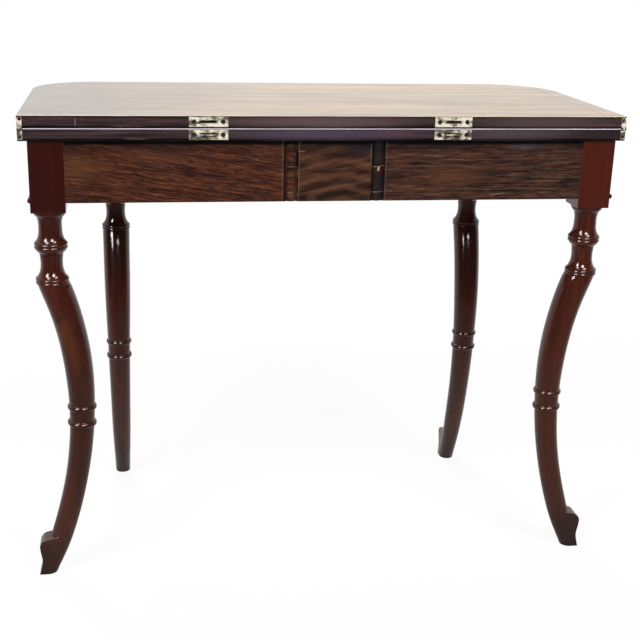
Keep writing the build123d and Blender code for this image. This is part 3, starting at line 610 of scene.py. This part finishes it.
def edged(tree, colour, leaf, at, lines, rub, upright):  # painted highlights and shadows on the arrises, painted reflections, and ticks of the upright edges
    thin = cloud(tree, "patchy", leafWear["thinGrain"], leaf["shift"])
    for height, half, tone, share in leaf["arrisLightAndShade"]:
        near = size(tree, less(tree, at["Z"], height))
        near = times(tree, fade(tree, near, *(half * part for part in leafWear["rimEdge"])), upright)
        strong = fade(tree, thin, *leafWear["thinSpan"], share * leafWear["thinLeast"], share)
        colour = tint(tree, times(tree, near, strong), colour, tone)
    for centre, reach, tone, share in leaf["edgeReflections"]:
        near = spot(tree, centre, reach, lines, leafWear["reflectionRagged"], share)
        colour = tint(tree, times(tree, near, upright), colour, tone)
    ticked = markUp(tree, colour, leaf["ticks"], fade(tree, rub, *leafWear["tickSpan"]))
    return tint(tree, upright, colour, ticked)


def leafMaterial(name, leaf):
    made, tree = startMaterial(name)
    shift = leaf["shift"]
    at = parts(tree, onPiece(tree))
    facing = parts(tree, put(tree, "ShaderNodeTexCoord").outputs["Normal"])["Z"]
    above = fade(tree, facing, *leafWear["faceSpan"])
    below = fade(tree, facing, *(-end for end in leafWear["faceSpan"]))
    upright = fade(tree, size(tree, facing), *leafWear["uprightSpan"])
    high = grain(tree, leaf["upper"], shift)
    low = grain(tree, leaf["lower"], (shift[0] + leafWear["underStep"], *shift[1:]))
    side = grain(tree, edgeLook, shift)
    top = high["colour"]
    if leaf["folds"]:
        top = banded(tree, top, leaf["upper"], shift, at)

    edge, eased = worn(tree, leafWear["edgeReach"])
    rub = cloud(tree, "patchy", evenly(leafWear["rubSize"]), shift)
    colour = tint(tree, below, tint(tree, above, side["colour"], top), low["colour"])
    rubbed = times(tree, fade(tree, edge, *leafWear["edgeSpan"]), fade(tree, rub, *leafWear["rubSpan"]))
    colour = tint(tree, times(tree, rubbed, above), colour, leafWear["rubInk"])
    colour = edged(tree, colour, leaf, at, side["lines"], rub, upright)

    smear = fade(tree, cloud(tree, "smear", leafWear["smearGrain"], shift), *leafWear["smearSpan"])
    flat = plus(tree, above, below)
    faces = plus(tree, times(tree, above, leaf["upperGloss"]), times(tree, below, leaf["lowerGloss"]))
    sides = times(tree, less(tree, 1.0, flat), leafWear["edgeGloss"])
    rough = times(tree, smear, plus(tree, faces, sides))
    height = plus(tree, times(tree, high["lines"], leafWear["streakHigh"]),
                  times(tree, high["pit"], leafWear["poreHigh"]))
    normal = relief(tree, leafWear["relief"], leafWear["deep"], height, eased)
    waxed = flat if leaf["folds"] else above  # the folding leaf's lower face opens upwards
    return finish(tree, made, colour, rough, normal, {"Coat Weight": waxed, **wax})


for name, leaf in leaves.items():
    dress(name, leafMaterial(name + "Wood", leaf))
print("leaves polished")


# metalwork: pale worn brass plates, dark iron screws and pins
plateLook = {
    "bright": ink(250, 243, 224), "dull": ink(204, 193, 168),
    "stain": ink(92, 83, 68), "dirtAndShade": ink(12, 10, 10),
    "broadGrain": (0.014, 0.014, 0.007), "stops": (0.34, 0.42, 0.5), "fineSize": 0.0016,
    "fineSpan": (0.55, 0.75, 0.0, 0.5), "quirkReach": 0.0022, "quirkSpan": (0.2, 0.8, 0.0, 0.9),
    "edgeReach": 0.0004, "edgeSpan": (0.02, 0.3, 0.0, 0.5), "roughSpan": (0.35, 0.65, 0.52, 0.28),
    "scratchGrain": (0.012, 0.004, 0.0003), "scratchTurn": (0, 0.5, 0), "scratchHigh": 0.7,
    "relief": 0.3, "deep": 0.0002, "sockets": {"Metallic": 0.25, "Specular IOR Level": 0.5}}
# painted shadow in and round each slot and under each tongue, on either side: the rows are height and
# half height
slotShadow = {"x": 0.184, "y": -0.20575, "halfLong": 0.0128, "rows": ((0.74075, 0.0023), (0.72185, 0.0029)),
        "soft": 0.25, "deep": 0.0012, "share": 0.95, "ink": ink(8, 7, 7)}
ironLook = {
    "bright": ink(120, 112, 106), "dull": ink(70, 64, 62),
    "rust": ink(74, 48, 36), "dirtAndShade": ink(20, 17, 17),
    "broadSize": 0.004, "stops": (0.36, 0.5, 0.7),
    "quirkReach": 0.0015, "quirkSpan": (0.15, 0.7, 0.0, 0.95),
    "edgeReach": 0.0003, "edgeSpan": (0.02, 0.3, 0.0, 0.6), "roughSpan": (0.35, 0.65, 0.62, 0.4),
    "relief": 0.3, "deep": 0.0002, "sockets": {"Metallic": 0.75, "Specular IOR Level": 0.5}}
tarnish = {"tongue": 0.1, "hinge": 0.12, "slot": 0.03}
plateStep = (0.11, 0.07, 0.05)
ironStep = (0.09, 0.03, 0.02)


def handled(tree, colour, look):  # dirt and painted shade in the quirks, bright wear on the edges
    edge, eased = worn(tree, look["edgeReach"])
    dirtAndShade = fade(tree, hollow(tree, look["quirkReach"]), *look["quirkSpan"])
    colour = tint(tree, dirtAndShade, colour, look["dirtAndShade"])
    return tint(tree, fade(tree, edge, *look["edgeSpan"]), colour, look["bright"]), eased


def plateMaterial(name, shift, dark):
    made, tree = startMaterial(name)
    broad = less(tree, cloud(tree, "patchy", plateLook["broadGrain"], shift), dark)
    fine = cloud(tree, "thread", evenly(plateLook["fineSize"]), shift)
    colour = shades(tree, broad, plateLook["stops"],
                    (plateLook["stain"], plateLook["dull"], plateLook["bright"]))
    colour = tint(tree, fade(tree, fine, *plateLook["fineSpan"]), colour, plateLook["dull"])
    colour, eased = handled(tree, colour, plateLook)
    for side in (-1, 1):
        for level, halfHigh in slotShadow["rows"]:
            here = line(tree, (side * slotShadow["x"], slotShadow["y"], level), slotShadow["halfLong"], halfHigh,
                        soft=slotShadow["soft"], deep=slotShadow["deep"])
            colour = tint(tree, times(tree, here, slotShadow["share"]), colour, slotShadow["ink"])
    rough = fade(tree, broad, *plateLook["roughSpan"])
    scratch = cloud(tree, "pore", plateLook["scratchGrain"], shift, plateLook["scratchTurn"])
    height = plus(tree, fine, times(tree, scratch, plateLook["scratchHigh"]))
    normal = relief(tree, plateLook["relief"], plateLook["deep"], height, eased)
    return finish(tree, made, colour, rough, normal, plateLook["sockets"])


def ironMaterial(name, shift):
    made, tree = startMaterial(name)
    broad = cloud(tree, "patchy", evenly(ironLook["broadSize"]), shift)
    colour = shades(tree, broad, ironLook["stops"],
                    (ironLook["rust"], ironLook["dull"], ironLook["bright"]))
    colour, eased = handled(tree, colour, ironLook)
    rough = fade(tree, broad, *ironLook["roughSpan"])
    normal = relief(tree, ironLook["relief"], ironLook["deep"], broad, eased)
    return finish(tree, made, colour, rough, normal, ironLook["sockets"])


for count, name in enumerate(n for n in nodes if n.endswith("plate")):
    dark = next(share for kind, share in tarnish.items() if kind in name)
    dress(name, plateMaterial(name + "Brass", stepped(count, plateStep), dark))
for count, name in enumerate(n for n in nodes if n.endswith(("screws", "pin"))):
    dress(name, ironMaterial(name + "Iron", stepped(count, ironStep)))
print("metalwork worn")
